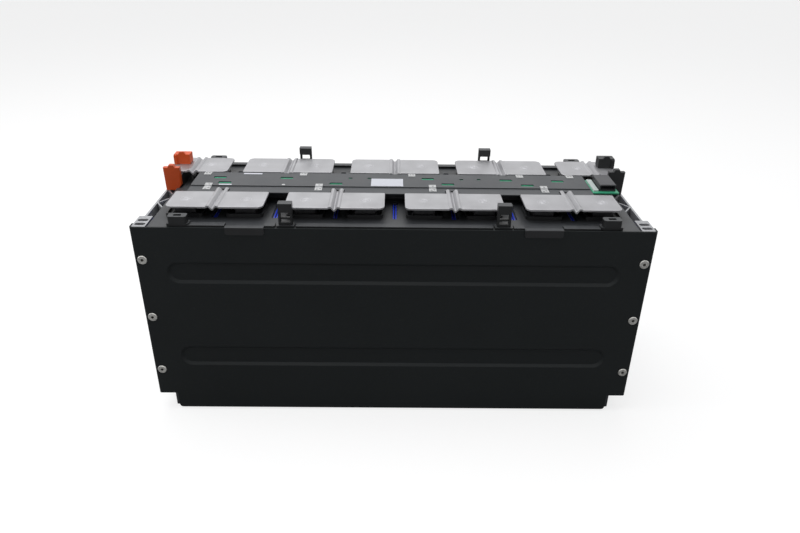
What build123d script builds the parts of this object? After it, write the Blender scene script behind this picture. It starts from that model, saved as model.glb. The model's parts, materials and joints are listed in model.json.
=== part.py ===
from build123d import *
import os

os.makedirs("parts", exist_ok=True)

# Battery module: eight prismatic cells in a row along X, clamped between two extruded
# aluminium end plates and two riveted sheet side plates, with the busbar carrier, busbars
# and sensing parts on top. X is the long direction, -Y the front, Z = 0 the resting plane.

# ---------------------------------------------------------------- driving dimensions (mm)
length = 600.0
width = 222.0
plate_h = 258.0
sheet_t = 2.0

cell_count = 8
spacer_t = 1.5
side_room = 5.0
end_sheet_t = 1.25
side_sheet_t = 0.5
cell_corner_r = 4.0
film_t = 1.5
cell_top = 254.5

# side plate
notch_w = 23.5
notch_h = 25.0
notch_r = 8.0
lip_depth = 20.0
bend_r = 5.0
end_flange_w = 11.0
end_bend_r = 3.0
bead_end = 35.0
bead_h = 28.0
bead_depth = 2.5
bead_slope = 3.5
bead_zs = (83.0, 200.0)

# rivets
rivet_zs = (62.3, 139.5, 216.7)
rivet_inset = 9.0
rivet_head_r = 5.5
rivet_head_t = 1.2
rivet_shank_r = 3.0
rivet_bore_r = 1.75
rivet_len = 12.0
hole_clear = 0.3

# end plate extrusion
end_t = 15.5
block_w = 30.0
block_top = 258.0
truss_top = 251.4
end_bottom = 27.0
outer_wall = 2.5
inner_wall = 1.8
web_t = 1.8
web_apex = 22.0
web_feet = (5.6, 38.4)
block_slot_ys = (9.5, 20.5)
block_slot = (12.3, 6.2)
lift_slot = (12.7, 19.4)
lift_slots = ((12.0, 217.0), (59.0, 202.0))

# busbar carrier
carrier_t = 2.5
carrier_room = 1.5
wall = 2.0
pocket_h = 4.0
pocket = (43.6, 36.0)
window = (32.0, 28.0)
sense_slot_w = 7.0
rib_h = 3.0
tab_w = 44.0
tab_drop = 8.0
tab_t = 1.6

# busbars
bar_t = 2.2
bar_top = 272.6
bar_gap = 24.0
bar_corner_r = 7.0
bar_inner_r = 2.0
bead_half = 7.5
ridge = 1.0
trough = 3.6
front_bar_room = 27.3
rear_bar_room = 21.6
bar_inner_y = 35.6
tongue = 11.0
tongue_rear = 4.0

# harness cover and sensing parts
cover_room_x = (46.0, 55.0)
cover_y = (-15.0, 31.0)
cover_t = 1.2
flange_front = 20.0
flange_rear = 4.2
flange_drop = 1.2
board_t = 1.6
board_drop = 1.2

# ---------------------------------------------------------------- derived
half_l = length / 2
half_w = width / 2
inner_y = half_w - sheet_t
end_x = half_l - sheet_t
end_in = end_x - end_t
pitch = (2 * end_in - 2 * end_sheet_t + spacer_t) / cell_count
cell_t = pitch - spacer_t
cell_w = width - 2 * side_room
cell_xs = [(i - (cell_count - 1) / 2) * pitch for i in range(cell_count)]
gap_xs = [(i - (cell_count - 2) / 2) * pitch for i in range(cell_count - 1)]
stack_half = cell_count * cell_t / 2 + (cell_count - 1) * spacer_t / 2
base_t = 1.5
cell_z0 = sheet_t + base_t
carrier_top = cell_top + carrier_t
bar_z0 = bar_top - bar_t
bar_len = 2 * pitch - bar_gap
front_bar_y = (-half_w + front_bar_room, -bar_inner_y)
rear_bar_y = (bar_inner_y, half_w - rear_bar_room)
carrier_half_x = end_in - carrier_room
cover_x = (-half_l + cover_room_x[0], half_l - cover_room_x[1])
front_term_y = sum(front_bar_y) / 2
rear_term_y = sum(rear_bar_y) / 2
rivet_x = half_l - rivet_inset
hole_r = rivet_shank_r + hole_clear
cover_top = bar_top
flange_top = cover_top - flange_drop
board_top = cover_top - board_drop
base_y = (26.0, inner_y - block_w - 0.5)
board_z0 = board_top - board_t


def along(x):
    """Place along the row, given for a cell pitch of 70.5 mm."""
    return x * pitch / 70.5


tab_x = along(170.0)


def save(builder, name):
    builder.part.label = name
    export_step(builder.part, f"parts/{name}.step")


# ---------------------------------------------------------------- side plates
# Folded sheet: tall web, end flanges wrapped over the end plates, bottom lip turned in
# between two corner notches, two long pressed beads and three rivet holes at each end.
with BuildPart() as side_plate_front:
    with BuildSketch(Plane.YZ.offset(-(half_l - notch_w))):
        with BuildLine():
            Polyline(
                (-half_w, plate_h), (-half_w, 0), (-half_w + lip_depth, 0),
                (-half_w + lip_depth, sheet_t), (-half_w + sheet_t, sheet_t),
                (-half_w + sheet_t, plate_h), close=True,
            )
        make_face()
    extrude(amount=length - 2 * notch_w)
    outer_bend = side_plate_front.edges().filter_by(Axis.X).filter_by_position(
        Axis.Z, -0.1, 0.1).sort_by(Axis.Y)[0]
    fillet(outer_bend, radius=bend_r)
    inner_bend = side_plate_front.edges().filter_by(Axis.X).filter_by_position(
        Axis.Z, sheet_t - 0.1, sheet_t + 0.1).sort_by(Axis.Y)[0]
    fillet(inner_bend, radius=bend_r - sheet_t)
    # rounded lower corners of the web
    with BuildSketch(Plane.XZ.offset(half_w + 1)):
        for side in (-1, 1):
            with BuildLine():
                x0 = side * (half_l - notch_w)
                x1 = x0 - side * notch_r
                l1 = Line((x1, 0), (x0, 0))
                l2 = Line((x0, 0), (x0, notch_r))
                RadiusArc((x0, notch_r), (x1, 0), side * notch_r)
            make_face()
    extrude(amount=-(lip_depth + 2), mode=Mode.SUBTRACT)
    # ends of the web and the flanges folded round the end plates
    for side in (-1, 1):
        with BuildSketch(Plane.XY.offset(notch_h)):
            with BuildLine():
                Polyline(
                    (side * (half_l - notch_w), -half_w), (side * half_l, -half_w),
                    (side * half_l, -half_w + end_flange_w),
                    (side * end_x, -half_w + end_flange_w),
                    (side * end_x, -inner_y),
                    (side * (half_l - notch_w), -inner_y), close=True,
                )
            make_face()
        extrude(amount=plate_h - notch_h)
    fold = side_plate_front.edges().filter_by(Axis.Z).filter_by_position(
        Axis.Y, -half_w - 0.1, -half_w + 0.1)
    fold = [e for e in fold if abs(abs(e.center().X) - half_l) < 0.1]
    fillet(fold, radius=end_bend_r)
    fold_in = [e for e in side_plate_front.edges().filter_by(Axis.Z)
               if abs(abs(e.center().X) - end_x) < 0.1 and abs(e.center().Y + inner_y) < 0.1]
    fillet(fold_in, radius=end_bend_r - sheet_t)
    # pressed beads: wall kept at sheet thickness
    for z in bead_zs:
        with BuildSketch(Plane.XZ.offset(inner_y)):
            with Locations((0, z)):
                SlotOverall((length - 2 * bead_end) + 1.6, bead_h + 1.6)
        with BuildSketch(Plane.XZ.offset(inner_y - bead_depth)):
            with Locations((0, z)):
                SlotOverall((length - 2 * bead_end) + 1.6 - 2 * bead_slope, bead_h + 1.6 - 2 * bead_slope)
        loft()
    for z in bead_zs:
        with BuildSketch(Plane.XZ.offset(half_w)):
            with Locations((0, z)):
                SlotOverall((length - 2 * bead_end), bead_h)
        with BuildSketch(Plane.XZ.offset(half_w - bead_depth)):
            with Locations((0, z)):
                SlotOverall((length - 2 * bead_end) - 2 * bead_slope, bead_h - 2 * bead_slope)
        loft(mode=Mode.SUBTRACT)
    with BuildSketch(Plane.XZ.offset(half_w + 1)):
        with Locations(*[(s * rivet_x, z) for s in (-1, 1) for z in rivet_zs]):
            Circle(hole_r)
    extrude(amount=-(sheet_t + 2), mode=Mode.SUBTRACT)
save(side_plate_front, "side_plate_front")

with BuildPart() as side_plate_rear:
    mirror(side_plate_front.part, about=Plane.XZ)
save(side_plate_rear, "side_plate_rear")

# ---------------------------------------------------------------- end plates
# Vertical extrusion: a solid block at each end with two slots through it, a diagonal-web
# truss between them whose top is cut lower, and four upright lifting slots.
with BuildPart() as end_plate_left:
    with BuildSketch(Plane.XY.offset(end_bottom)):
        with Locations((-(end_x + end_in) / 2, 0)):
            Rectangle(end_t, 2 * inner_y)
    extrude(amount=block_top - end_bottom)
    corners = [e for e in end_plate_left.edges().filter_by(Axis.Z)
               if abs(e.center().X + end_x) < 0.01]
    fillet(corners, radius=end_bend_r - sheet_t + 0.5)
    # lower top between the corner blocks
    with BuildSketch(Plane.XY.offset(truss_top)):
        with Locations((-(end_x + end_in) / 2, 0)):
            Rectangle(end_t + 2, 2 * (inner_y - block_w))
    extrude(amount=block_top - truss_top + 1, mode=Mode.SUBTRACT)
    # truss cavities, one between each pair of neighbouring webs
    xo = -(end_x - outer_wall)
    xi = -(end_in + inner_wall)
    ends = inner_y - block_w
    with BuildSketch(Plane.XY.offset(end_bottom - 1)):
        with Locations(((xo + xi) / 2, 0)):
            Rectangle(abs(xi - xo), 2 * ends)
        for apex, foot in [(s * web_apex, s * f) for s in (-1, 1) for f in web_feet]:
            half = web_t / 2 * ((xi - xo) ** 2 + (apex - foot) ** 2) ** 0.5 / abs(xi - xo)
            with BuildLine():
                Polyline((xo, apex - half), (xi, foot - half), (xi, foot + half),
                         (xo, apex + half), close=True)
            make_face(mode=Mode.SUBTRACT)
    extrude(amount=block_top + 2, mode=Mode.SUBTRACT)
    # slots through the corner blocks
    with BuildSketch(Plane.XY.offset(end_bottom - 1)):
        with Locations(*[(-(end_x + end_in) / 2, s * (half_w - y))
                         for s in (-1, 1) for y in block_slot_ys]):
            SlotOverall(*block_slot)
    extrude(amount=block_top + 2, mode=Mode.SUBTRACT)
    # lifting slots through the outer wall
    with BuildSketch(Plane.YZ.offset(-end_x - 1)):
        with Locations(*[(s * y, z) for s in (-1, 1) for y, z in lift_slots]):
            SlotOverall(lift_slot[1], lift_slot[0], rotation=90)
    extrude(amount=outer_wall + 1.1, mode=Mode.SUBTRACT)
    # rivet holes in both long edges
    with BuildSketch(Plane.XZ.offset(half_w)):
        with Locations(*[(-rivet_x, z) for z in rivet_zs]):
            Circle(hole_r)
    extrude(amount=-(rivet_len + 3), mode=Mode.SUBTRACT)
    with BuildSketch(Plane.XZ.offset(-half_w)):
        with Locations(*[(-rivet_x, z) for z in rivet_zs]):
            Circle(hole_r)
    extrude(amount=rivet_len + 3, mode=Mode.SUBTRACT)
save(end_plate_left, "end_plate_left")

with BuildPart() as end_plate_right:
    mirror(end_plate_left.part, about=Plane.YZ)
save(end_plate_right, "end_plate_right")

# ---------------------------------------------------------------- rivets
# Blind rivets: flat flange outside the side plate, hollow shank in the end plate.
with BuildPart() as rivets_front:
    with BuildSketch(Plane.XZ.offset(half_w)):
        with Locations(*[(s * rivet_x, z) for s in (-1, 1) for z in rivet_zs]):
            Circle(rivet_head_r)
    extrude(amount=rivet_head_t)
    chamfer(rivets_front.edges().filter_by(GeomType.CIRCLE).group_by(Axis.Y)[0], length=0.5)
    with BuildSketch(Plane.XZ.offset(half_w)):
        with Locations(*[(s * rivet_x, z) for s in (-1, 1) for z in rivet_zs]):
            Circle(rivet_shank_r)
    extrude(amount=-rivet_len)
    with BuildSketch(Plane.XZ.offset(half_w + rivet_head_t + 1)):
        with Locations(*[(s * rivet_x, z) for s in (-1, 1) for z in rivet_zs]):
            Circle(rivet_bore_r)
    extrude(amount=-(rivet_head_t + rivet_len - 1), mode=Mode.SUBTRACT)
save(rivets_front, "rivets_front")

with BuildPart() as rivets_rear:
    mirror(rivets_front.part, about=Plane.XZ)
save(rivets_rear, "rivets_rear")

# ---------------------------------------------------------------- cells and insulation
for number, x in enumerate(cell_xs, start=1):
    with BuildPart() as cell:
        with BuildSketch(Plane.XY.offset(cell_z0)):
            with Locations((x, 0)):
                RectangleRounded(cell_t, cell_w, cell_corner_r)
        extrude(amount=cell_top - cell_z0)
    save(cell, f"cell_{number}")

with BuildPart() as cell_spacers:
    with BuildSketch(Plane.XY.offset(cell_z0 + 2)):
        with Locations(*[(x, 0) for x in gap_xs]):
            Rectangle(spacer_t, cell_w - 2 * cell_corner_r)
    extrude(amount=cell_top - cell_z0 - 4)
save(cell_spacers, "cell_spacers")

with BuildPart() as end_insulator_left:
    with BuildSketch(Plane.XY.offset(cell_z0 + 1)):
        with Locations((-(end_in + stack_half) / 2, 0)):
            Rectangle(end_in - stack_half, cell_w - 2 * cell_corner_r)
    extrude(amount=truss_top - cell_z0 - 3)
save(end_insulator_left, "end_insulator_left")

with BuildPart() as end_insulator_right:
    mirror(end_insulator_left.part, about=Plane.YZ)
save(end_insulator_right, "end_insulator_right")

with BuildPart() as side_insulator_front:
    with BuildSketch(Plane.XZ.offset(cell_w / 2)):
        with Locations((0, (cell_z0 + cell_top - 4) / 2)):
            Rectangle(2 * stack_half, cell_top - 4 - cell_z0)
    extrude(amount=side_sheet_t)
save(side_insulator_front, "side_insulator_front")

with BuildPart() as side_insulator_rear:
    mirror(side_insulator_front.part, about=Plane.XZ)
save(side_insulator_rear, "side_insulator_rear")

with BuildPart() as base_insulator:
    with BuildSketch(Plane.XY.offset(sheet_t)):
        RectangleRounded(2 * stack_half, 2 * (half_w - bend_r - 1), 2)
    extrude(amount=base_t)
save(base_insulator, "base_insulator")

# aluminium terminal blocks on the cell lids, two per cell
with BuildPart() as cell_terminals:
    with BuildSketch(Plane.XY.offset(cell_top)):
        with Locations(*[(x, y) for x in cell_xs for y in (front_term_y, rear_term_y)]):
            RectangleRounded(26, 23, 3)
    extrude(amount=bar_z0 - cell_top)
save(cell_terminals, "cell_terminals")

# ---------------------------------------------------------------- busbar carrier
# Moulded plate on the cell lids: a rimmed window round every terminal, slots over the
# cell joints, raised edge ribs, loop brackets, latch posts and hooks over the side plates.
loop_xs = (along(-246.0), along(248.0))
post_xs = (along(-124.0), along(124.5))
hook_end = tab_x + tab_w / 2
hook_start = tab_x - tab_w / 2
rib_spans = ((along(-235.0), -hook_end - 1), (-hook_start, post_xs[0] - 12),
             (post_xs[0] + 12, post_xs[1] - 12.5), (post_xs[1] + 11.5, hook_start),
             (hook_end + 1, along(235.0)))
with BuildPart() as busbar_carrier:
    with BuildSketch(Plane.XY.offset(cell_top)):
        RectangleRounded(2 * carrier_half_x, 2 * inner_y - 1, 3)
    extrude(amount=carrier_t)
    # corners left free for the terminal bases
    with BuildSketch(Plane.XY.offset(cell_top - 1)):
        with Locations(*[(s * (carrier_half_x - 2), (base_y[0] - 12 + inner_y - block_w) / 2)
                         for s in (-1, 1)]):
            Rectangle(8.4, inner_y - block_w - base_y[0] + 12)
    extrude(amount=carrier_t + 2, mode=Mode.SUBTRACT)
    # pocket rims
    with BuildSketch(Plane.XY.offset(carrier_top)):
        with Locations(*[(x, y) for x in cell_xs for y in (front_term_y, rear_term_y)]):
            RectangleRounded(pocket[0], pocket[1], 4)
    extrude(amount=pocket_h)
    with BuildSketch(Plane.XY.offset(carrier_top)):
        with Locations(*[(x, y) for x in cell_xs for y in (front_term_y, rear_term_y)]):
            RectangleRounded(pocket[0] - 2 * wall, pocket[1] - 2 * wall, 2)
    extrude(amount=pocket_h + 1, mode=Mode.SUBTRACT)
    # terminal windows
    with BuildSketch(Plane.XY.offset(cell_top - 1)):
        with Locations(*[(x, y) for x in cell_xs for y in (front_term_y, rear_term_y)]):
            RectangleRounded(window[0], window[1], 3)
    extrude(amount=carrier_t + 2, mode=Mode.SUBTRACT)
    # slots over the cell joints
    with BuildSketch(Plane.XY.offset(cell_top - 1)):
        with Locations(*[(x, s * 54.0) for x in gap_xs for s in (-1, 1)]):
            RectangleRounded(sense_slot_w, 50, 2)
    extrude(amount=carrier_t + 2, mode=Mode.SUBTRACT)
    # edge ribs
    for x0, x1 in rib_spans:
        with BuildSketch(Plane.XY.offset(carrier_top)):
            with Locations(*[((x0 + x1) / 2, s * (inner_y - 5)) for s in (-1, 1)]):
                Rectangle(x1 - x0, 9)
        extrude(amount=rib_h)
    # hooks over the side plates
    hook_top = plate_h + tab_t
    for side in (-1, 1):
        with BuildSketch(Plane.XY.offset(carrier_top)):
            with Locations(*[(s * tab_x, side * (inner_y - 1.5)) for s in (-1, 1)]):
                Rectangle(tab_w, 2)
        extrude(amount=hook_top - carrier_top)
        with BuildSketch(Plane.XY.offset(plate_h)):
            with Locations(*[(s * tab_x, side * (inner_y - 2.5 + (sheet_t + tab_t + 2.5) / 2))
                             for s in (-1, 1)]):
                Rectangle(tab_w, sheet_t + tab_t + 2.5)
        extrude(amount=tab_t)
        with BuildSketch(Plane.XY.offset(plate_h - tab_drop)):
            with Locations(*[(s * tab_x, side * (half_w + tab_t / 2)) for s in (-1, 1)]):
                Rectangle(tab_w, tab_t)
        extrude(amount=tab_drop + tab_t)
    hook_corners = [e for e in busbar_carrier.edges().filter_by(Axis.Y)
                    if abs(e.center().Z - (plate_h - tab_drop)) < 0.05]
    fillet(hook_corners, radius=2.5)
    hook_noses = [e for e in busbar_carrier.edges().filter_by(Axis.X)
                  if abs(e.center().Z - hook_top) < 0.05
                  and abs(abs(e.center().Y) - half_w - tab_t) < 0.05]
    fillet(hook_noses, radius=1.2)
    # loop brackets: block on a wider foot, with a slot down through the top
    for side in (-1, 1):
        with BuildSketch(Plane.XY.offset(carrier_top)):
            with Locations(*[(x, side * (inner_y - 6.5)) for x in loop_xs]):
                RectangleRounded(26, 11, 3)
        extrude(amount=4.5)
        with BuildSketch(Plane.XY.offset(carrier_top)):
            with Locations(*[(x, side * (inner_y - 6.5)) for x in loop_xs]):
                RectangleRounded(21, 11, 3)
        extrude(amount=13)
        with BuildSketch(Plane.XY.offset(carrier_top + 5)):
            with Locations(*[(x, side * (inner_y - 6.5)) for x in loop_xs]):
                RectangleRounded(9, 4.5, 1)
        extrude(amount=9, mode=Mode.SUBTRACT)
    # latch posts: foot, upright with a catch window, deeper head on top
    for side in (-1, 1):
        with BuildSketch(Plane.XY.offset(carrier_top)):
            with Locations(*[(x, side * (inner_y - 6)) for x in post_xs]):
                Rectangle(20, 10)
        extrude(amount=3)
        with BuildSketch(Plane.XY.offset(carrier_top)):
            with Locations(*[(x, side * (inner_y - 7)) for x in post_xs]):
                RectangleRounded(16, 6, 1)
        extrude(amount=28.5)
        with BuildSketch(Plane.XZ.offset(-side * half_w)):
            with Locations(*[(x, carrier_top + 12) for x in post_xs]):
                RectangleRounded(11, 12, 1)
        extrude(amount=side * 20, mode=Mode.SUBTRACT)
        with BuildSketch(Plane.XY.offset(carrier_top + 20)):
            with Locations(*[(x, side * (inner_y - 9)) for x in post_xs]):
                RectangleRounded(16, 10, 1)
        extrude(amount=8.5)
        # catch across the window
        with BuildSketch(Plane.XY.offset(carrier_top + 9)):
            with Locations(*[(x, side * (inner_y - 7.5)) for x in post_xs]):
                Rectangle(12, 3)
        extrude(amount=2.5)
    # pillars under the sensing board
    with BuildSketch(Plane.XY.offset(carrier_top)):
        with Locations(*[(x, 8) for x in map(along, (-235, -141, -50, 50, 141, 235))]):
            Circle(4)
    extrude(amount=board_z0 - carrier_top)
save(busbar_carrier, "busbar_carrier")


# ---------------------------------------------------------------- busbars
def bar_profile(x0, x1, bead_x):
    """Closed strip section in XZ: flat, two ridges and a V trough, flat."""
    top = [(x0, 0), (bead_x - bead_half, 0), (bead_x - 6, ridge), (bead_x - 3.8, ridge),
           (bead_x - 0.7, ridge - trough), (bead_x + 0.7, ridge - trough),
           (bead_x + 3.8, ridge), (bead_x + 6, ridge), (bead_x + bead_half, 0), (x1, 0)]
    upper = [(x, bar_top + z) for x, z in top]
    lower = [(x, z - bar_t) for x, z in reversed(upper)]
    return upper + lower


def busbar(x0, x1, bead_x, y0, y1, reach, towards):
    """Flat bar with a central expansion bead that runs on as a short tongue."""
    start = y0 if towards > 0 else y0 - reach
    stop = y1 + reach if towards > 0 else y1
    edge = y1 if towards > 0 else y0
    with BuildPart() as bar:
        with BuildSketch(Plane.XZ.offset(-start)):
            with BuildLine():
                Polyline(*bar_profile(x0, x1, bead_x), close=True)
            make_face()
        extrude(amount=-(stop - start))
        with BuildSketch(Plane.XY.offset(bar_z0 - 10)):
            for a, b in ((x0 - 1, bead_x - bead_half), (bead_x + bead_half, x1 + 1)):
                with Locations(((a + b) / 2, edge + towards * (reach / 2 + 0.5))):
                    Rectangle(b - a, reach + 1)
        extrude(amount=30, mode=Mode.SUBTRACT)
        far = y0 if towards > 0 else y1
        ends = [e for e in bar.edges().filter_by(Axis.Z)
                if min(abs(e.center().X - x0), abs(e.center().X - x1)) < 0.01]
        outer = [e for e in ends if abs(e.center().Y - far) < 0.01]
        inner = [e for e in ends if abs(e.center().Y - far) > 1]
        fillet(outer, radius=bar_corner_r)
        fillet(inner, radius=bar_inner_r)
        rim = [e for e in bar.edges().filter_by(Axis.X) if abs(e.center().Z - bar_top) < 0.01]
        fillet(rim, radius=0.4)
    return bar


front_beads = [gap_xs[i] for i in (0, 2, 4, 6)]
outer_trim = (4.0, 0.0, 0.0, 4.0)
front_spans = [(x - bar_len / 2 + (t if x < 0 else 0), x + bar_len / 2 - (t if x > 0 else 0))
               for x, t in zip(front_beads, outer_trim)]
for number, (span, bead_x) in enumerate(zip(front_spans, front_beads), start=1):
    bar = busbar(span[0], span[1], bead_x, front_bar_y[0], front_bar_y[1], tongue, 1)
    save(bar, f"front_busbar_{number}")

for number, bead_x in enumerate([gap_xs[i] for i in (1, 3, 5)], start=1):
    bar = busbar(bead_x - bar_len / 2, bead_x + bar_len / 2, bead_x,
                 rear_bar_y[0], rear_bar_y[1], tongue_rear, -1)
    save(bar, f"rear_busbar_{number}")

# ---------------------------------------------------------------- output terminals
# At each end the last rear cell's bar runs out over the end plate as a flat terminal pad,
# carried on a moulded base. A shield cap closes the front of the base and a second cap
# stands on the pad.
out_x0 = gap_xs[1] - bar_len / 2 - 20.5
pad_x0 = -half_l + 3.5
base_x = (-half_l + 2.5, -half_l + 23.1)
shield_t = 6.0
shield_top = 282.3
pad_cap_y = (base_y[1] - 16.0, base_y[1] - 2.0)
pad_cap_top = 285.8
shield_x = (-half_l + 2.3, -half_l + 23.3)
pad_cap_x = (-half_l + 4.7, -half_l + 25.7)
cap_wall = 1.6
cap_tab = (9.5, 5.5, 3.4)

with BuildPart() as output_busbar_positive:
    with BuildSketch(Plane.XZ.offset(-rear_bar_y[0])):
        with BuildLine():
            Polyline(*bar_profile(pad_x0, out_x0, -half_l + 35.0), close=True)
        make_face()
    extrude(amount=-(rear_bar_y[1] - rear_bar_y[0]))
    corners = [e for e in output_busbar_positive.edges().filter_by(Axis.Z)
               if min(abs(e.center().X - out_x0), abs(e.center().X - pad_x0)) < 0.01]
    fillet(corners, radius=bar_corner_r)
    rim = [e for e in output_busbar_positive.edges().filter_by(Axis.X)
           if abs(e.center().Z - bar_top) < 0.01]
    fillet(rim, radius=0.6)
save(output_busbar_positive, "output_busbar_positive")

with BuildPart() as output_busbar_negative:
    mirror(output_busbar_positive.part, about=Plane.YZ)
save(output_busbar_negative, "output_busbar_negative")

with BuildPart() as positive_terminal_base:
    with BuildSketch(Plane.XY.offset(cell_top)):
        with Locations((sum(base_x) / 2, sum(base_y) / 2)):
            Rectangle(base_x[1] - base_x[0], base_y[1] - base_y[0])
    extrude(amount=bar_z0 - cell_top)
    # foot on the lower middle part of the end plate
    with BuildSketch(Plane.XY.offset(truss_top)):
        with Locations(((base_x[0] - end_in) / 2, sum(base_y) / 2)):
            Rectangle(-end_in - base_x[0], base_y[1] - base_y[0])
    extrude(amount=cell_top - truss_top)
save(positive_terminal_base, "positive_terminal_base")

with BuildPart() as negative_terminal_base:
    mirror(positive_terminal_base.part, about=Plane.YZ)
save(negative_terminal_base, "negative_terminal_base")


def cap_outline(cap_x, z0, z1, cut):
    """Front view of a cap: slanted lower inner corner, small trapezoid tab on top."""
    cx = sum(cap_x) / 2
    return [(cap_x[0] + 0.8, z0), (cap_x[1] - cut, z0), (cap_x[1], z0 + 1.4 * cut),
            (cap_x[1], z1), (cx + cap_tab[0] / 2, z1), (cx + cap_tab[1] / 2, z1 + cap_tab[2]),
            (cx - cap_tab[1] / 2, z1 + cap_tab[2]), (cx - cap_tab[0] / 2, z1), (cap_x[0], z1)]


with BuildPart() as positive_shield_cap:
    with BuildSketch(Plane.XZ.offset(-base_y[0])):
        with BuildLine():
            Polyline(*cap_outline(shield_x, truss_top, shield_top, 5.5), close=True)
        make_face()
    extrude(amount=shield_t)
    fillet(positive_shield_cap.faces().sort_by(Axis.Y)[0].edges(), radius=0.8)
    # hollow behind the front wall
    with BuildSketch(Plane.XZ.offset(-base_y[0] - 0.1)):
        with Locations((sum(shield_x) / 2, bar_z0 + (shield_top - bar_z0) / 2)):
            RectangleRounded(shield_x[1] - shield_x[0] - 2 * cap_wall,
                             shield_top - bar_z0 - 2 * cap_wall, 1)
    extrude(amount=shield_t - cap_wall + 0.1, mode=Mode.SUBTRACT)
    # step over the end cell
    with BuildSketch(Plane.XY.offset(truss_top - 1)):
        with Locations((-stack_half + 4.4, base_y[0] - shield_t / 2)):
            Rectangle(10, shield_t + 2)
    extrude(amount=cell_top - truss_top + 1.2, mode=Mode.SUBTRACT)
save(positive_shield_cap, "positive_shield_cap")

with BuildPart() as negative_shield_cap:
    mirror(positive_shield_cap.part, about=Plane.YZ)
save(negative_shield_cap, "negative_shield_cap")

with BuildPart() as positive_pad_cap:
    with BuildSketch(Plane.XZ.offset(-pad_cap_y[0])):
        with BuildLine():
            Polyline(*cap_outline(pad_cap_x, bar_top, pad_cap_top, 0.8), close=True)
        make_face()
    extrude(amount=-(pad_cap_y[1] - pad_cap_y[0]))
    fillet(positive_pad_cap.faces().sort_by(Axis.Y)[0].edges().filter_by(Axis.Z), radius=0.8)
    # tab only along the front
    with BuildSketch(Plane.XY.offset(pad_cap_top)):
        with Locations((sum(pad_cap_x) / 2, pad_cap_y[1] - 5)):
            Rectangle(30, 11.6)
    extrude(amount=10, mode=Mode.SUBTRACT)
    # hollow, open downwards
    with BuildSketch(Plane.XY.offset(bar_top - 0.1)):
        with Locations((sum(pad_cap_x) / 2, sum(pad_cap_y) / 2)):
            Rectangle(pad_cap_x[1] - pad_cap_x[0] - 2 * cap_wall - 1.6,
                      pad_cap_y[1] - pad_cap_y[0] - 2 * cap_wall)
    extrude(amount=pad_cap_top - bar_top - cap_wall + 0.1, mode=Mode.SUBTRACT)
    # grip rib down the outer front corner
    with BuildSketch(Plane.XY.offset(bar_top)):
        with Locations((pad_cap_x[0] + 1.9, pad_cap_y[0] - 0.9)):
            Rectangle(3.8, 2.2)
    extrude(amount=pad_cap_top - bar_top - 1)
save(positive_pad_cap, "positive_pad_cap")

with BuildPart() as negative_pad_cap:
    mirror(positive_pad_cap.part, about=Plane.YZ)
save(negative_pad_cap, "negative_pad_cap")

# ---------------------------------------------------------------- sensing parts
# Long moulded cover down the middle: a channel standing on the carrier, with a lower ledge
# along each side that is notched round the busbar tongues, and windows over the board.
windows = ((-223.5, 13.6), (-138.5, 13.6), (42.3, 14.8), (142.3, 12.5), (208.5, 11.0),
           (-213.8, -4.5), (-74.2, -5.0), (67.0, -4.0), (167.3, -5.0))
small_windows = ((-57.0, 14.8), (-32.7, 14.8), (85.4, 13.6), (107.7, 14.4))
cover_cx = sum(cover_x) / 2
cover_cy = sum(cover_y) / 2
cover_l = cover_x[1] - cover_x[0]
cover_w = cover_y[1] - cover_y[0]
with BuildPart() as harness_cover:
    with BuildSketch(Plane.XY.offset(carrier_top)):
        with Locations((cover_cx, cover_cy)):
            RectangleRounded(cover_l, cover_w, 2)
    extrude(amount=cover_top - carrier_top)
    with BuildSketch(Plane.XY.offset(carrier_top - 1)):
        with Locations((cover_cx, cover_cy)):
            Rectangle(cover_l - 2 * cover_t, cover_w - 2 * cover_t)
    extrude(amount=cover_top - carrier_top + 1 - cover_t, mode=Mode.SUBTRACT)
    # side ledges
    with BuildSketch(Plane.XY.offset(flange_top - cover_t)):
        with Locations((cover_cx, cover_y[0] - flange_front / 2 + 0.5)):
            Rectangle(cover_l, flange_front + 1)
        with Locations((cover_cx, cover_y[1] + flange_rear / 2 - 0.5)):
            Rectangle(cover_l, flange_rear + 1)
        with Locations(*[(x, front_bar_y[1] + tongue / 2 - 1) for x in front_beads]):
            Rectangle(2 * bead_half + 2, tongue + 4, mode=Mode.SUBTRACT)
        with Locations(*[(gap_xs[i], rear_bar_y[0]) for i in (1, 3, 5)]):
            Rectangle(2 * bead_half + 2, 2 * tongue_rear + 0.8, mode=Mode.SUBTRACT)
    extrude(amount=cover_t)
    # windows over the board
    with BuildSketch(Plane.XY.offset(cover_top - cover_t - 0.5)):
        with Locations(*[(along(x), y) for x, y in windows]):
            RectangleRounded(16, 6, 1)
        with Locations(*[(along(x), y) for x, y in small_windows]):
            RectangleRounded(5, 4, 1)
    extrude(amount=cover_t + 1, mode=Mode.SUBTRACT)
    # open right-hand end for the board
    with BuildSketch(Plane.XY.offset(board_z0 - 0.4)):
        with Locations((cover_x[1], cover_cy)):
            Rectangle(3 * cover_t, cover_w - 2 * cover_t)
    extrude(amount=board_t + 0.4, mode=Mode.SUBTRACT)
save(harness_cover, "harness_cover")

board_head_x = (half_l - 54.4, half_l - 22.0)
board_head_y = (-25.0, 19.0)
block_x = (half_l - 45.5, half_l - 25.0)
with BuildPart() as sense_board:
    with BuildSketch(Plane.XY.offset(board_z0)):
        with Locations(((cover_x[0] + cover_t + 1 + board_head_x[0]) / 2, 8.0)):
            Rectangle(board_head_x[0] - cover_x[0] - cover_t - 1, 36)
        with Locations(((board_head_x[0] + block_x[1]) / 2, sum(board_head_y) / 2)):
            Rectangle(block_x[1] - board_head_x[0], board_head_y[1] - board_head_y[0])
        with Locations(((board_head_x[1] + block_x[1]) / 2, (board_head_y[0] + 8.0) / 2)):
            Rectangle(board_head_x[1] - block_x[1], 8.0 - board_head_y[0])
    extrude(amount=board_t)
save(sense_board, "sense_board")

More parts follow.
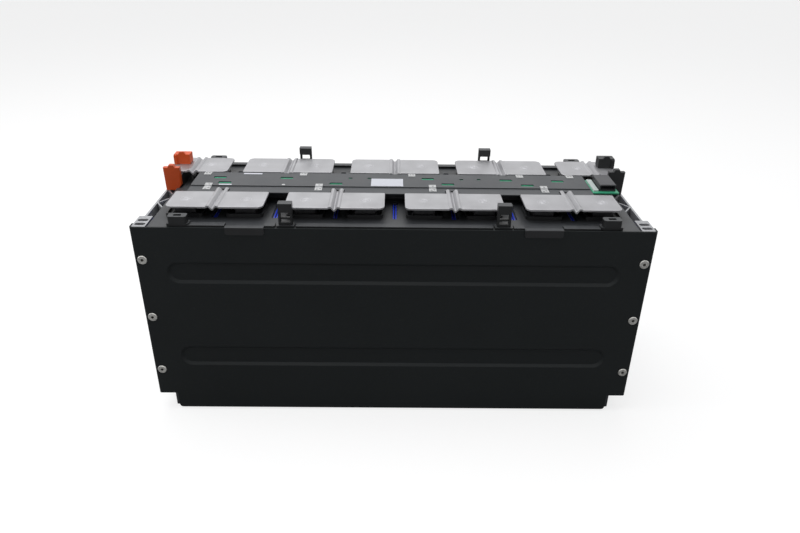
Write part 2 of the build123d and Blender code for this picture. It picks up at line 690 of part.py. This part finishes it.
# nickel sense tabs: lower pad on the ledge, riser, upper pad on the cover
tab_sheet = 0.6
front_tab_xs = [along(x) for x in (-232.0, -94.6, 47.0, 186.5)]
rear_tab_xs = [along(x) for x in (-242.0, -118.5, 22.0, 162.3, 227.7)]
with BuildPart() as sense_tabs:
    for xs, wall_y, out in ((front_tab_xs, cover_y[0], -1),):
        with BuildSketch(Plane.XY.offset(flange_top)):
            with Locations(*[(x, wall_y + out * 6) for x in xs]):
                Rectangle(9, 12)
        extrude(amount=tab_sheet)
        with BuildSketch(Plane.XY.offset(flange_top)):
            with Locations(*[(x, wall_y + out * tab_sheet / 2) for x in xs]):
                Rectangle(9, tab_sheet)
        extrude(amount=flange_drop + tab_sheet)
        with BuildSketch(Plane.XY.offset(cover_top)):
            with Locations(*[(x, wall_y - out * 3.5 + out * tab_sheet / 2) for x in xs]):
                Rectangle(9, 7 + tab_sheet)
        extrude(amount=tab_sheet)
    with BuildSketch(Plane.XY.offset(cover_top)):
        with Locations(*[(x, cover_y[1] - 4.5) for x in rear_tab_xs]):
            Rectangle(9, 9)
    extrude(amount=tab_sheet)
    with BuildSketch(Plane.XY.offset(flange_top)):
        with Locations(*[(x, cover_y[1] + tab_sheet / 2) for x in rear_tab_xs]):
            Rectangle(9, tab_sheet)
    extrude(amount=flange_drop + tab_sheet)
    with BuildSketch(Plane.XY.offset(flange_top)):
        with Locations(*[(x, cover_y[1] + 2) for x in rear_tab_xs]):
            Rectangle(9, 4)
    extrude(amount=tab_sheet)
save(sense_tabs, "sense_tabs")

with BuildPart() as serial_label:
    with BuildSketch(Plane.XY.offset(cover_top)):
        with Locations((-9.8, 0.0)):
            Rectangle(40.4, 26)
    extrude(amount=0.3)
save(serial_label, "serial_label")

with BuildPart() as connector_plate:
    with BuildSketch(Plane.XY.offset(board_top)):
        with Locations((half_l - 49.7, -1.5)):
            RectangleRounded(6.4, 38, 1)
    extrude(amount=1.8)
save(connector_plate, "connector_plate")

# plug socket facing the front, open cavity with a row of contacts
socket_y = (-19.5, 17.0)
socket_h = 8.6
cavity = (17.5, 5.6)
cavity_deep = 14.0
with BuildPart() as data_connector:
    with BuildSketch(Plane.XY.offset(board_top)):
        with Locations((sum(block_x) / 2, sum(socket_y) / 2)):
            RectangleRounded(block_x[1] - block_x[0], socket_y[1] - socket_y[0], 1)
    extrude(amount=socket_h)
    chamfer(data_connector.edges().group_by(Axis.Z)[-1], length=0.8)
    with BuildSketch(Plane.XZ.offset(-socket_y[0] + 1)):
        with Locations((sum(block_x) / 2, board_top + socket_h / 2)):
            RectangleRounded(cavity[0], cavity[1], 0.6)
    extrude(amount=-cavity_deep - 1, mode=Mode.SUBTRACT)
    with BuildSketch(Plane.XZ.offset(-socket_y[0] - cavity_deep - 1)):
        with Locations(*[(sum(block_x) / 2 + (i - 3) * 2.3, board_top + socket_h / 2)
                         for i in range(7)]):
            Rectangle(0.8, 0.8)
    extrude(amount=9)
save(data_connector, "data_connector")
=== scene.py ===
import json
import math

import bmesh
import bpy
from mathutils import Matrix, Vector


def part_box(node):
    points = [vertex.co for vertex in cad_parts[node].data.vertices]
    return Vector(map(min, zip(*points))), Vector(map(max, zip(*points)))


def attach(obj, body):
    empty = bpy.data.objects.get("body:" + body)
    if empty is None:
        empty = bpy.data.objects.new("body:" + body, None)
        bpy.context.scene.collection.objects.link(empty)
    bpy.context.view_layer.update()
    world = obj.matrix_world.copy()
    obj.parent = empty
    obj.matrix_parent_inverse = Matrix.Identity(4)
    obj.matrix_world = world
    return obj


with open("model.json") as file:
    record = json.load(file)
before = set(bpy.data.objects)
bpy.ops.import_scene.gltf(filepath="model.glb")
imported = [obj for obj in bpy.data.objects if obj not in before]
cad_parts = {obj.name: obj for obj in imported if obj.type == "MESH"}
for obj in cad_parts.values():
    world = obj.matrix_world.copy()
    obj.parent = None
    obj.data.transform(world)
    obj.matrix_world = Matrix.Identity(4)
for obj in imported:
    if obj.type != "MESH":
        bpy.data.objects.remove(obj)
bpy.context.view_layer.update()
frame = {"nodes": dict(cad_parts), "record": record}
nodes = frame["nodes"]
mm = 0.001
cell_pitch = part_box("cell_2")[0].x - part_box("cell_1")[0].x
cover_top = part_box("serial_label")[0].z


# ------------------------------------------------------------------ camera
camera_place = (-0.00213, -0.80871, 0.57749)
camera_pitch = math.radians(27.703)
camera_yaw = math.radians(0.722)
camera_roll = math.radians(0.846)
camera_lens_mm = 30.482


def place_camera():
    pitch, yaw, roll = camera_pitch, camera_yaw, camera_roll
    forward = Vector((math.sin(yaw) * math.cos(pitch), math.cos(yaw) * math.cos(pitch),
                      -math.sin(pitch)))
    right = forward.cross(Vector((0, 0, 1))).normalized()
    up = right.cross(forward)
    right, up = (right * math.cos(roll) + up * math.sin(roll),
                 up * math.cos(roll) - right * math.sin(roll))
    data = bpy.data.cameras.new("camera")
    data.lens = camera_lens_mm
    data.sensor_width = 36.0
    data.clip_end = 50
    cam = bpy.data.objects.new("camera", data)
    rot = Matrix((right, up, -forward)).transposed().to_4x4()
    cam.matrix_world = Matrix.Translation(camera_place) @ rot
    bpy.context.scene.collection.objects.link(cam)
    bpy.context.scene.camera = cam


place_camera()


# ------------------------------------------------------------------ materials
class Nodes:
    """Small helper that builds a node tree on a new material."""

    def __init__(self, name):
        self.mat = bpy.data.materials.new(name)
        self.mat.use_nodes = True
        self.tree = self.mat.node_tree
        self.bsdf = self.tree.nodes["Principled BSDF"]
        self.coord = self.add("ShaderNodeTexCoord").outputs["Object"]

    def add(self, kind, **settings):
        node = self.tree.nodes.new(kind)
        for key, value in settings.items():
            setattr(node, key, value)
        return node

    def link(self, a, b):
        self.tree.links.new(a, b)

    def scaled(self, scale):
        m = self.add("ShaderNodeMapping")
        m.inputs["Scale"].default_value = scale
        self.link(self.coord, m.inputs["Vector"])
        return m.outputs["Vector"]

    def noise(self, scale, detail=3.0, rough=0.5, stretch=None, distortion=0.0):
        n = self.add("ShaderNodeTexNoise")
        n.inputs["Scale"].default_value = scale
        n.inputs["Detail"].default_value = detail
        n.inputs["Roughness"].default_value = rough
        n.inputs["Distortion"].default_value = distortion
        self.link(self.scaled(stretch) if stretch else self.coord, n.inputs["Vector"])
        return n.outputs["Fac"]

    def ramp(self, fac, stops):
        r = self.add("ShaderNodeValToRGB")
        els = r.color_ramp.elements
        while len(els) < len(stops):
            els.new(0.5)
        for el, (pos, col) in zip(els, stops):
            el.position = pos
            el.color = tuple(col) + (1.0,) if len(col) == 3 else col
        self.link(fac, r.inputs["Fac"])
        return r.outputs["Color"]

    def range(self, fac, lo, hi, a=0.3, b=0.7):
        m = self.add("ShaderNodeMapRange")
        m.inputs["From Min"].default_value = a
        m.inputs["From Max"].default_value = b
        m.inputs["To Min"].default_value = lo
        m.inputs["To Max"].default_value = hi
        self.link(fac, m.inputs["Value"])
        return m.outputs["Result"]

    def math(self, op, a, b):
        m = self.add("ShaderNodeMath", operation=op)
        for socket, value in zip(m.inputs, (a, b)):
            if isinstance(value, (int, float)):
                socket.default_value = value
            else:
                self.link(value, socket)
        return m.outputs["Value"]

    def mix(self, fac, a, b, blend="MIX"):
        m = self.add("ShaderNodeMix", data_type="RGBA", blend_type=blend)
        for socket, value in ((m.inputs[0], fac), (m.inputs[6], a), (m.inputs[7], b)):
            if isinstance(value, (int, float)):
                socket.default_value = value
            elif isinstance(value, tuple):
                socket.default_value = value + (1.0,) if len(value) == 3 else value
            else:
                self.link(value, socket)
        return m.outputs[2]

    def bump(self, height, strength, distance, normal=None):
        b = self.add("ShaderNodeBump")
        b.inputs["Strength"].default_value = strength
        b.inputs["Distance"].default_value = distance
        self.link(height, b.inputs["Height"])
        if normal is not None:
            self.link(normal, b.inputs["Normal"])
        return b.outputs["Normal"]

    def edge_wear(self, radius, lo, hi):
        """0 on flats, 1 on exposed edges, from the bevel normal."""
        bevel = self.add("ShaderNodeBevel", samples=4)
        bevel.inputs["Radius"].default_value = radius
        geo = self.add("ShaderNodeNewGeometry")
        dot = self.add("ShaderNodeVectorMath", operation="DOT_PRODUCT")
        self.link(bevel.outputs["Normal"], dot.inputs[0])
        self.link(geo.outputs["Normal"], dot.inputs[1])
        return self.range(dot.outputs["Value"], 1.0, 0.0, lo, hi)

    def gap_shade_mask(self, distance):
        """Mask for painted shade in gaps, from ambient occlusion: 0 in the open, 1 deep in gaps.
        """
        ao = self.add("ShaderNodeAmbientOcclusion", samples=4)
        ao.inputs["Distance"].default_value = distance
        return self.range(ao.outputs["AO"], 1.0, 0.0, 0.35, 0.95)

    def upward(self):
        """Mask for painted shade on walls: 1 on faces that look up, 0 on walls."""
        geo = self.add("ShaderNodeNewGeometry")
        split = self.add("ShaderNodeSeparateXYZ")
        self.link(geo.outputs["Normal"], split.inputs[0])
        return self.range(split.outputs["Z"], 0.0, 1.0, 0.3, 0.9)

    def set(self, **values):
        for key, value in values.items():
            socket = self.bsdf.inputs[key.replace("_", " ")]
            if isinstance(value, (int, float)):
                socket.default_value = value
            elif isinstance(value, tuple):
                socket.default_value = value + (1.0,) if len(value) == 3 else value
            else:
                self.link(value, socket)
        return self.mat


def srgb(r, g, b):
    def lin(v):
        v /= 255.0
        return v / 12.92 if v <= 0.04045 else ((v + 0.055) / 1.055) ** 2.4
    return (lin(r), lin(g), lin(b))


def tint(color, k):
    return tuple(min(1.0, c * k) for c in color)


def coated_sheet():
    n = Nodes("coated_sheet_look")
    base = srgb(35, 38, 39)
    cloud = n.noise(3.2, 4, 0.55)
    dust = n.noise(420, 2, 0.6)
    color = n.ramp(cloud, [(0.25, tint(base, 0.85)), (0.5, base), (0.8, tint(base, 1.16))])
    color = n.mix(n.range(dust, 0.0, 0.25, 0.58, 0.78), color, srgb(52, 54, 54))
    peel = n.noise(1500, 2, 0.5)
    wave = n.noise(26, 2, 0.4)
    normal = n.bump(wave, 0.05, 0.0015)
    normal = n.bump(peel, 0.10, 0.00005, normal)
    smear = n.noise(9, 5, 0.6, stretch=(0.5, 1, 1.6), distortion=0.6)
    return n.set(Base_Color=color, Roughness=n.range(smear, 0.42, 0.56), Normal=normal,
                 Specular_IOR_Level=0.14)


def end_alloy():
    n = Nodes("end_plate_alloy_look")
    base = srgb(166, 167, 170)
    streak = n.noise(60, 4, 0.6, stretch=(1, 1, 0.015))
    mottle = n.noise(14, 4, 0.6)
    color = n.ramp(streak, [(0.3, tint(base, 0.86)), (0.55, base), (0.75, tint(base, 1.1))])
    color = n.mix(n.range(mottle, 0.0, 0.3), color, tint(base, 0.8))
    grain = n.noise(900, 2, 0.5, stretch=(1, 1, 0.05))
    normal = n.bump(grain, 0.12, 0.0001)
    return n.set(Base_Color=color, Metallic=0.75, Roughness=n.range(mottle, 0.38, 0.56),
                 Normal=normal)


def bar_alloy(name="busbar_alloy_look", base=srgb(170, 170, 173), metallic=0.8):
    n = Nodes(name)
    mottle = n.noise(38, 5, 0.6)
    fine = n.noise(700, 3, 0.6)
    roll = n.noise(90, 3, 0.5, stretch=(0.04, 1, 1))
    color = n.ramp(mottle, [(0.3, tint(base, 0.9)), (0.55, base), (0.78, tint(base, 1.08))])
    color = n.mix(n.range(roll, 0.0, 0.22), color, tint(base, 0.84))
    normal = n.bump(roll, 0.10, 0.0002)
    normal = n.bump(fine, 0.10, 0.00008, normal)
    rough = n.range(mottle, 0.36, 0.5)
    return n.set(Base_Color=color, Metallic=metallic, Roughness=rough, Normal=normal)


def bright_metal(name, base, rough, shade=0.0):
    n = Nodes(name)
    spots = n.noise(260, 4, 0.6)
    color = n.ramp(spots, [(0.3, tint(base, 0.8)), (0.6, base), (0.8, tint(base, 1.1))])
    # painted shade: the colour falls to near black deep in gaps, by ambient occlusion
    if shade > 0:
        color = n.mix(n.math("MULTIPLY", n.gap_shade_mask(0.02), shade), color, tint(base, 0.03))
    normal = n.bump(n.noise(900, 2, 0.5), 0.15, 0.0001)
    return n.set(Base_Color=color, Metallic=0.92, Roughness=n.range(spots, rough, rough + 0.14),
                 Normal=normal)


def moulded(name, base, rough=0.45, grain=1200, depth=0.00008, spec=0.4, worn=1.5,
            wall_shade=1.0, shade=0.0):
    n = Nodes(name)
    cloud = n.noise(22, 4, 0.6)
    dust = n.noise(500, 3, 0.65)
    color = n.ramp(cloud, [(0.3, tint(base, 0.88)), (0.55, base), (0.8, tint(base, 1.12))])
    color = n.mix(n.range(dust, 0.0, 0.22, 0.56, 0.8), color, tint(base, 1.7))
    wear = n.edge_wear(0.0007, 0.8, 1.0)
    color = n.mix(n.math("MULTIPLY", wear, 0.35), color, tint(base, worn))
    # painted shade: faces that don't look up are darkened by the wall factor, as if lit from above
    if wall_shade < 1:
        color = n.mix(n.upward(), n.mix(1.0, color, (wall_shade, wall_shade, wall_shade), "MULTIPLY"), color)
    # painted shade: colour darkened deep in gaps, by ambient occlusion
    if shade > 0:
        painted_gap_shade = n.math("MULTIPLY", n.gap_shade_mask(0.022), shade)
        color = n.mix(painted_gap_shade, color, tint(base, 0.12))
    vein = n.noise(grain, 2, 0.5)
    flow = n.noise(70, 2, 0.4)
    normal = n.bump(flow, 0.05, 0.0004)
    normal = n.bump(vein, 0.16, depth, normal)
    return n.set(Base_Color=color, Roughness=n.range(cloud, rough - 0.06, rough + 0.1),
                 Normal=normal, Specular_IOR_Level=spec)


def film():
    """Blue film on the sides; on top a grey lid inside a narrow folded rim of film."""
    n = Nodes("cell_film_look")
    base = srgb(30, 60, 205)
    crease = n.noise(60, 5, 0.65, stretch=(1, 1, 0.35), distortion=0.8)
    color = n.ramp(crease, [(0.3, tint(base, 0.8)), (0.55, base), (0.75, tint(base, 1.2))])
    split = n.add("ShaderNodeSeparateXYZ")
    n.link(n.coord, split.inputs[0])
    rim = 2.1 * mm
    to_joint = n.math("PINGPONG", split.outputs["X"], cell_pitch / 2)
    inside = n.math("GREATER_THAN", to_joint, rim)
    on_top = n.math("GREATER_THAN", split.outputs["Z"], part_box("cell_1")[1].z - 0.2 * mm)
    lid = n.math("MULTIPLY", inside, on_top)
    color = n.mix(lid, color, n.mix(n.range(crease, 0, 1), srgb(60, 62, 66), srgb(76, 78, 82)))
    normal = n.bump(crease, 0.25, 0.0006)
    return n.set(Base_Color=color, Roughness=n.range(crease, 0.22, 0.36), Normal=normal,
                 Specular_IOR_Level=0.5)


def laminate():
    n = Nodes("board_laminate_look")
    base = srgb(62, 165, 125)
    weave = n.add("ShaderNodeTexWave", wave_type="BANDS", bands_direction="DIAGONAL")
    weave.inputs["Scale"].default_value = 900
    n.link(n.coord, weave.inputs["Vector"])
    cells = n.add("ShaderNodeTexVoronoi", feature="DISTANCE_TO_EDGE")
    cells.inputs["Scale"].default_value = 160
    n.link(n.scaled((1, 2.2, 1)), cells.inputs["Vector"])
    tracks = n.range(cells.outputs["Distance"], 1.0, 0.0, 0.02, 0.06)
    color = n.mix(tracks, base, tint(base, 1.35))
    color = n.mix(n.range(n.noise(30, 3), 0.0, 0.25), color, tint(base, 0.7))
    normal = n.bump(weave.outputs["Fac"], 0.1, 0.00005)
    return n.set(Base_Color=color, Roughness=n.range(n.noise(200, 2), 0.28, 0.4), Normal=normal)


def paper():
    n = Nodes("label_paper_look")
    base = srgb(206, 208, 216)
    fibre = n.noise(900, 4, 0.6)
    color = n.ramp(fibre, [(0.3, tint(base, 0.94)), (0.6, base), (0.8, tint(base, 1.04))])
    return n.set(Base_Color=color, Roughness=n.range(fibre, 0.5, 0.62),
                 Normal=n.bump(fibre, 0.08, 0.00005))


def foam():
    n = Nodes("spacer_foam_look")
    base = srgb(34, 34, 36)
    pores = n.add("ShaderNodeTexVoronoi")
    pores.inputs["Scale"].default_value = 900
    n.link(n.coord, pores.inputs["Vector"])
    color = n.mix(n.range(pores.outputs["Distance"], 0.0, 1.0, 0.0, 0.6), tint(base, 0.5), base)
    return n.set(Base_Color=color, Roughness=0.9,
                 Normal=n.bump(pores.outputs["Distance"], 0.3, 0.0002))


looks = {
    "coated_sheet": coated_sheet(),
    "end_plate_alloy": end_alloy(),
    "rivet_steel": bright_metal("rivet_steel_look", srgb(205, 204, 200), 0.28),
    "cell_film": film(),
    "spacer_foam": foam(),
    "insulator_sheet": moulded("insulator_sheet_look", srgb(58, 60, 64), 0.5),
    # terminal_alloy and carrier_plastic get painted shade in gaps; carrier, black, cover and
    # connector plastics get painted shade on their walls
    "terminal_alloy": bright_metal("terminal_alloy_look", srgb(120, 120, 124), 0.45, shade=0.96),
    "carrier_plastic": moulded("carrier_plastic_look", srgb(54, 56, 59), 0.40, wall_shade=0.3,
                               shade=0.9),
    "busbar_alloy": bar_alloy(),
    "orange_plastic": moulded("orange_plastic_look", srgb(214, 84, 30), 0.38, worn=1.2),
    "black_plastic": moulded("black_plastic_look", srgb(40, 41, 43), 0.42, wall_shade=0.5),
    "cover_plastic": moulded("cover_plastic_look", srgb(68, 70, 73), 0.48, worn=1.25, wall_shade=0.5),
    "board_laminate": laminate(),
    "nickel_tab": bright_metal("nickel_tab_look", srgb(196, 197, 198), 0.3),
    "label_paper": paper(),
    "plate_plastic": moulded("plate_plastic_look", srgb(186, 196, 194), 0.45, worn=1.1),
    "connector_plastic": moulded("connector_plastic_look", srgb(66, 67, 70), 0.42, wall_shade=0.4),
}
slot_of = {s["node"]: s["material_slot"] for s in frame["record"]["subparts"]}
for name, obj in nodes.items():
    mat = looks[slot_of.get(name, name)]
    if not obj.data.materials:
        obj.data.materials.append(mat)
    for k in range(len(obj.data.materials)):
        obj.data.materials[k] = mat


# ------------------------------------------------------------------ detail pieces
def new_piece(name, bm, mat, smooth=True):
    mesh = bpy.data.meshes.new(name)
    bm.normal_update()
    bm.to_mesh(mesh)
    bm.free()
    for p in mesh.polygons:
        p.use_smooth = smooth
    mesh.materials.append(mat)
    obj = bpy.data.objects.new(name, mesh)
    bpy.context.scene.collection.objects.link(obj)
    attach(obj, "root")
    return obj


def add_tube(bm, points, radius, closed=False, flat=1.0, sides=6):
    """A thin bead that follows points; flat squeezes it in Z."""
    rings = []
    count = len(points)
    for i, p in enumerate(points):
        a = points[i - 1] if (closed or i) else p
        b = points[(i + 1) % count] if (closed or i + 1 < count) else p
        along = (b - a).normalized()
        side = along.cross(Vector((0, 0, 1))).normalized()
        ring = []
        for k in range(sides):
            t = 2 * math.pi * k / sides
            off = side * math.cos(t) * radius + Vector((0, 0, math.sin(t) * radius * flat))
            ring.append(bm.verts.new(p + off))
        rings.append(ring)
    last = count if closed else count - 1
    for i in range(last):
        r0, r1 = rings[i], rings[(i + 1) % count]
        for k in range(sides):
            bm.faces.new((r0[k], r0[(k + 1) % sides], r1[(k + 1) % sides], r1[k]))
    if not closed:
        bm.faces.new(list(reversed(rings[0])))
        bm.faces.new(rings[-1])


def circle(centre, radius_x, radius_y, steps):
    """Points round a level ellipse."""
    angles = [2 * math.pi * j / steps for j in range(steps)]
    return [Vector((centre[0] + radius_x * math.cos(a), centre[1] + radius_y * math.sin(a),
                    centre[2])) for a in angles]


def spiral(centre, start, inner, outer, turns, steps):
    """Points along a level spiral that opens from inner to outer."""
    points = []
    for i in range(steps):
        t = i / (steps - 1)
        a = start + 2 * math.pi * turns * t
        r = inner + (outer - inner) * t
        points.append(Vector((centre[0] + r * math.cos(a), centre[1] + 1.05 * r * math.sin(a),
                              centre[2])))
    return points


def weld_marks():
    """Laser weld spirals on the flat of every bar, over each cell terminal."""
    look = bar_alloy("weld_mark_look", srgb(196, 196, 200), 0.75)
    mesh = nodes["cell_terminals"].data
    parts = {}
    for v in mesh.vertices:
        key = (round(v.co.x / cell_pitch - 0.5), v.co.y > 0)
        parts.setdefault(key, []).append(v.co)
    for row, name in ((False, "weld_marks_front"), (True, "weld_marks_rear")):
        bm = bmesh.new()
        for (k, rear), cos in sorted(parts.items()):
            if rear != row:
                continue
            cx = (min(c.x for c in cos) + max(c.x for c in cos)) / 2
            cy = (min(c.y for c in cos) + max(c.y for c in cos)) / 2
            centre = (cx, cy, cover_top)
            add_tube(bm, spiral(centre, 0.7 * k, 1.2 * mm, 4.6 * mm, 2.6, 66), 0.3 * mm, flat=0.45)
            add_tube(bm, circle(centre, 6.6 * mm, 6.6 * mm, 40), 0.16 * mm, closed=True, flat=0.4)
        obj = new_piece(name, bm, look)


def small_plate(name, centre, size, height, mat, radius=0.6):
    """Thin rounded plate lying on the harness cover, sizes in mm."""
    bm = bmesh.new()
    outline = []
    hx, hy, r = size[0] / 2 * mm, size[1] / 2 * mm, radius * mm
    for sx, sy, a0 in ((1, 1, 0), (-1, 1, 90), (-1, -1, 180), (1, -1, 270)):
        for i in range(5):
            a = math.radians(a0 + 22.5 * i)
            outline.append((centre[0] * mm + sx * (hx - r) + r * math.cos(a),
                            centre[1] * mm + sy * (hy - r) + r * math.sin(a)))
    low = [bm.verts.new((x, y, cover_top)) for x, y in outline]
    high = [bm.verts.new((x, y, cover_top + height * mm)) for x, y in outline]
    count = len(outline)
    for i in range(count):
        bm.faces.new((low[i], low[(i + 1) % count], high[(i + 1) % count], high[i]))
    bm.faces.new(high)
    bm.faces.new(list(reversed(low)))
    obj = new_piece(name, bm, mat, smooth=False)


def tab_spots():
    """Dark weld dots on both pads of every sense tab."""
    verts = nodes["sense_tabs"].data.vertices
    top = max(v.co.z for v in verts)
    step_down = 1.2 * mm
    rear_y = max(v.co.y for v in verts)
    front_y = min(v.co.y for v in verts)
    middle_y = 6 * mm
    upper = sorted({(round(v.co.x, 4), v.co.y > middle_y) for v in verts
                    if v.co.z > top - 0.1 * mm})
    bm = bmesh.new()
    for rear in (False, True):
        edges = [x for x, is_rear in upper if is_rear == rear]
        for left, right in zip(edges[::2], edges[1::2]):
            cx = (left + right) / 2
            if rear:
                spots = ((cx - 1.8 * mm, rear_y - 7.4 * mm, top),
                         (cx + 1.8 * mm, rear_y - 6.4 * mm, top))
            else:
                spots = ((cx - 1.7 * mm, front_y + 3.2 * mm, top - step_down),
                         (cx + 1.9 * mm, front_y + 5.2 * mm, top - step_down),
                         (cx + 0.4 * mm, front_y + 14.6 * mm, top))
            for spot in spots:
                add_tube(bm, circle(spot, 1.1 * mm, 0.9 * mm, 14), 0.3 * mm, closed=True,
                         flat=0.5, sides=4)
    obj = new_piece("tab_weld_dots", bm, looks["black_plastic"])


weld_marks()
small_plate("label_strip_rear", (-184.0, 27.5), (24, 4.5), 0.25, looks["label_paper"])
small_plate("label_strip_front", (-211.5, -12.2), (16, 3.6), 0.25, looks["label_paper"])
tab_spots()
small_plate("locating_stud", (-139.0, -12.6), (4.2, 4.2), 0.9, looks["nickel_tab"],
            radius=2.0)


# ------------------------------------------------------------------ stage and light
def stage_floor():
    """Pale floor that looks brighter to the camera than it lights the part."""
    mesh = bpy.data.meshes.new("floor")
    half = 6.0
    corners = [(-half, -half, 0), (half, -half, 0), (half, half, 0), (-half, half, 0)]
    mesh.from_pydata(corners, [], [(0, 1, 2, 3)])
    obj = bpy.data.objects.new("floor", mesh)
    obj.location.z = -0.2 * mm
    bpy.context.scene.collection.objects.link(obj)
    mat = bpy.data.materials.new("floor_look")
    mat.use_nodes = True
    tree = mat.node_tree
    out = tree.nodes["Material Output"]
    bsdf = tree.nodes["Principled BSDF"]
    bsdf.inputs["Base Color"].default_value = (0.36, 0.36, 0.36, 1)
    bsdf.inputs["Roughness"].default_value = 0.8
    bsdf.inputs["Specular IOR Level"].default_value = 0.1
    glow = tree.nodes.new("ShaderNodeEmission")
    glow.inputs["Color"].default_value = (1, 1, 1, 1)
    glow.inputs["Strength"].default_value = 0.74
    path = tree.nodes.new("ShaderNodeLightPath")
    both = tree.nodes.new("ShaderNodeAddShader")
    pick = tree.nodes.new("ShaderNodeMixShader")
    tree.links.new(bsdf.outputs[0], both.inputs[0])
    tree.links.new(glow.outputs[0], both.inputs[1])
    tree.links.new(path.outputs["Is Camera Ray"], pick.inputs[0])
    tree.links.new(bsdf.outputs[0], pick.inputs[1])
    tree.links.new(both.outputs[0], pick.inputs[2])
    tree.links.new(pick.outputs[0], out.inputs["Surface"])
    mesh.materials.append(mat)


def set_world():
    """Soft grey light, and plain white for what the camera and reflections see."""
    world = bpy.data.worlds.new("studio")
    bpy.context.scene.world = world
    world.use_nodes = True
    tree = world.node_tree
    soft = tree.nodes["Background"]
    soft.inputs["Color"].default_value = (0.95, 0.97, 1.0, 1)
    soft.inputs["Strength"].default_value = 0.26
    white = tree.nodes.new("ShaderNodeBackground")
    white.inputs["Color"].default_value = (1, 1, 1, 1)
    white.inputs["Strength"].default_value = 1.0
    path = tree.nodes.new("ShaderNodeLightPath")
    seen = path.outputs["Is Camera Ray"]
    for ray in ("Is Transmission Ray", "Is Glossy Ray"):
        either = tree.nodes.new("ShaderNodeMath")
        either.operation = "MAXIMUM"
        tree.links.new(seen, either.inputs[0])
        tree.links.new(path.outputs[ray], either.inputs[1])
        seen = either.outputs[0]
    pick = tree.nodes.new("ShaderNodeMixShader")
    tree.links.new(seen, pick.inputs[0])
    tree.links.new(soft.outputs[0], pick.inputs[1])
    tree.links.new(white.outputs[0], pick.inputs[2])
    tree.links.new(pick.outputs[0], tree.nodes["World Output"].inputs["Surface"])


def area(name, place, target, size, power):
    data = bpy.data.lights.new(name, "AREA")
    data.shape = "RECTANGLE"
    data.size, data.size_y = size
    data.energy = power
    obj = bpy.data.objects.new(name, data)
    obj.location = place
    direction = Vector(target) - Vector(place)
    obj.rotation_euler = direction.to_track_quat("-Z", "Y").to_euler()
    bpy.context.scene.collection.objects.link(obj)


stage_floor()
set_world()
area("softbox_top", (-0.35, 0.25, 1.8), (0, 0.05, 0.1), (2.2, 1.5), 24)
area("softbox_front", (0.0, -1.9, 1.7), (0, 0, 0.2), (2.0, 0.9), 6)
area("softbox_left", (-2.2, -0.1, 1.2), (0, 0, 0.15), (1.2, 1.2), 10)
area("softbox_right", (2.2, -0.1, 1.2), (0, 0, 0.15), (1.2, 1.2), 4)
bpy.context.scene.view_settings.view_transform = "Standard"
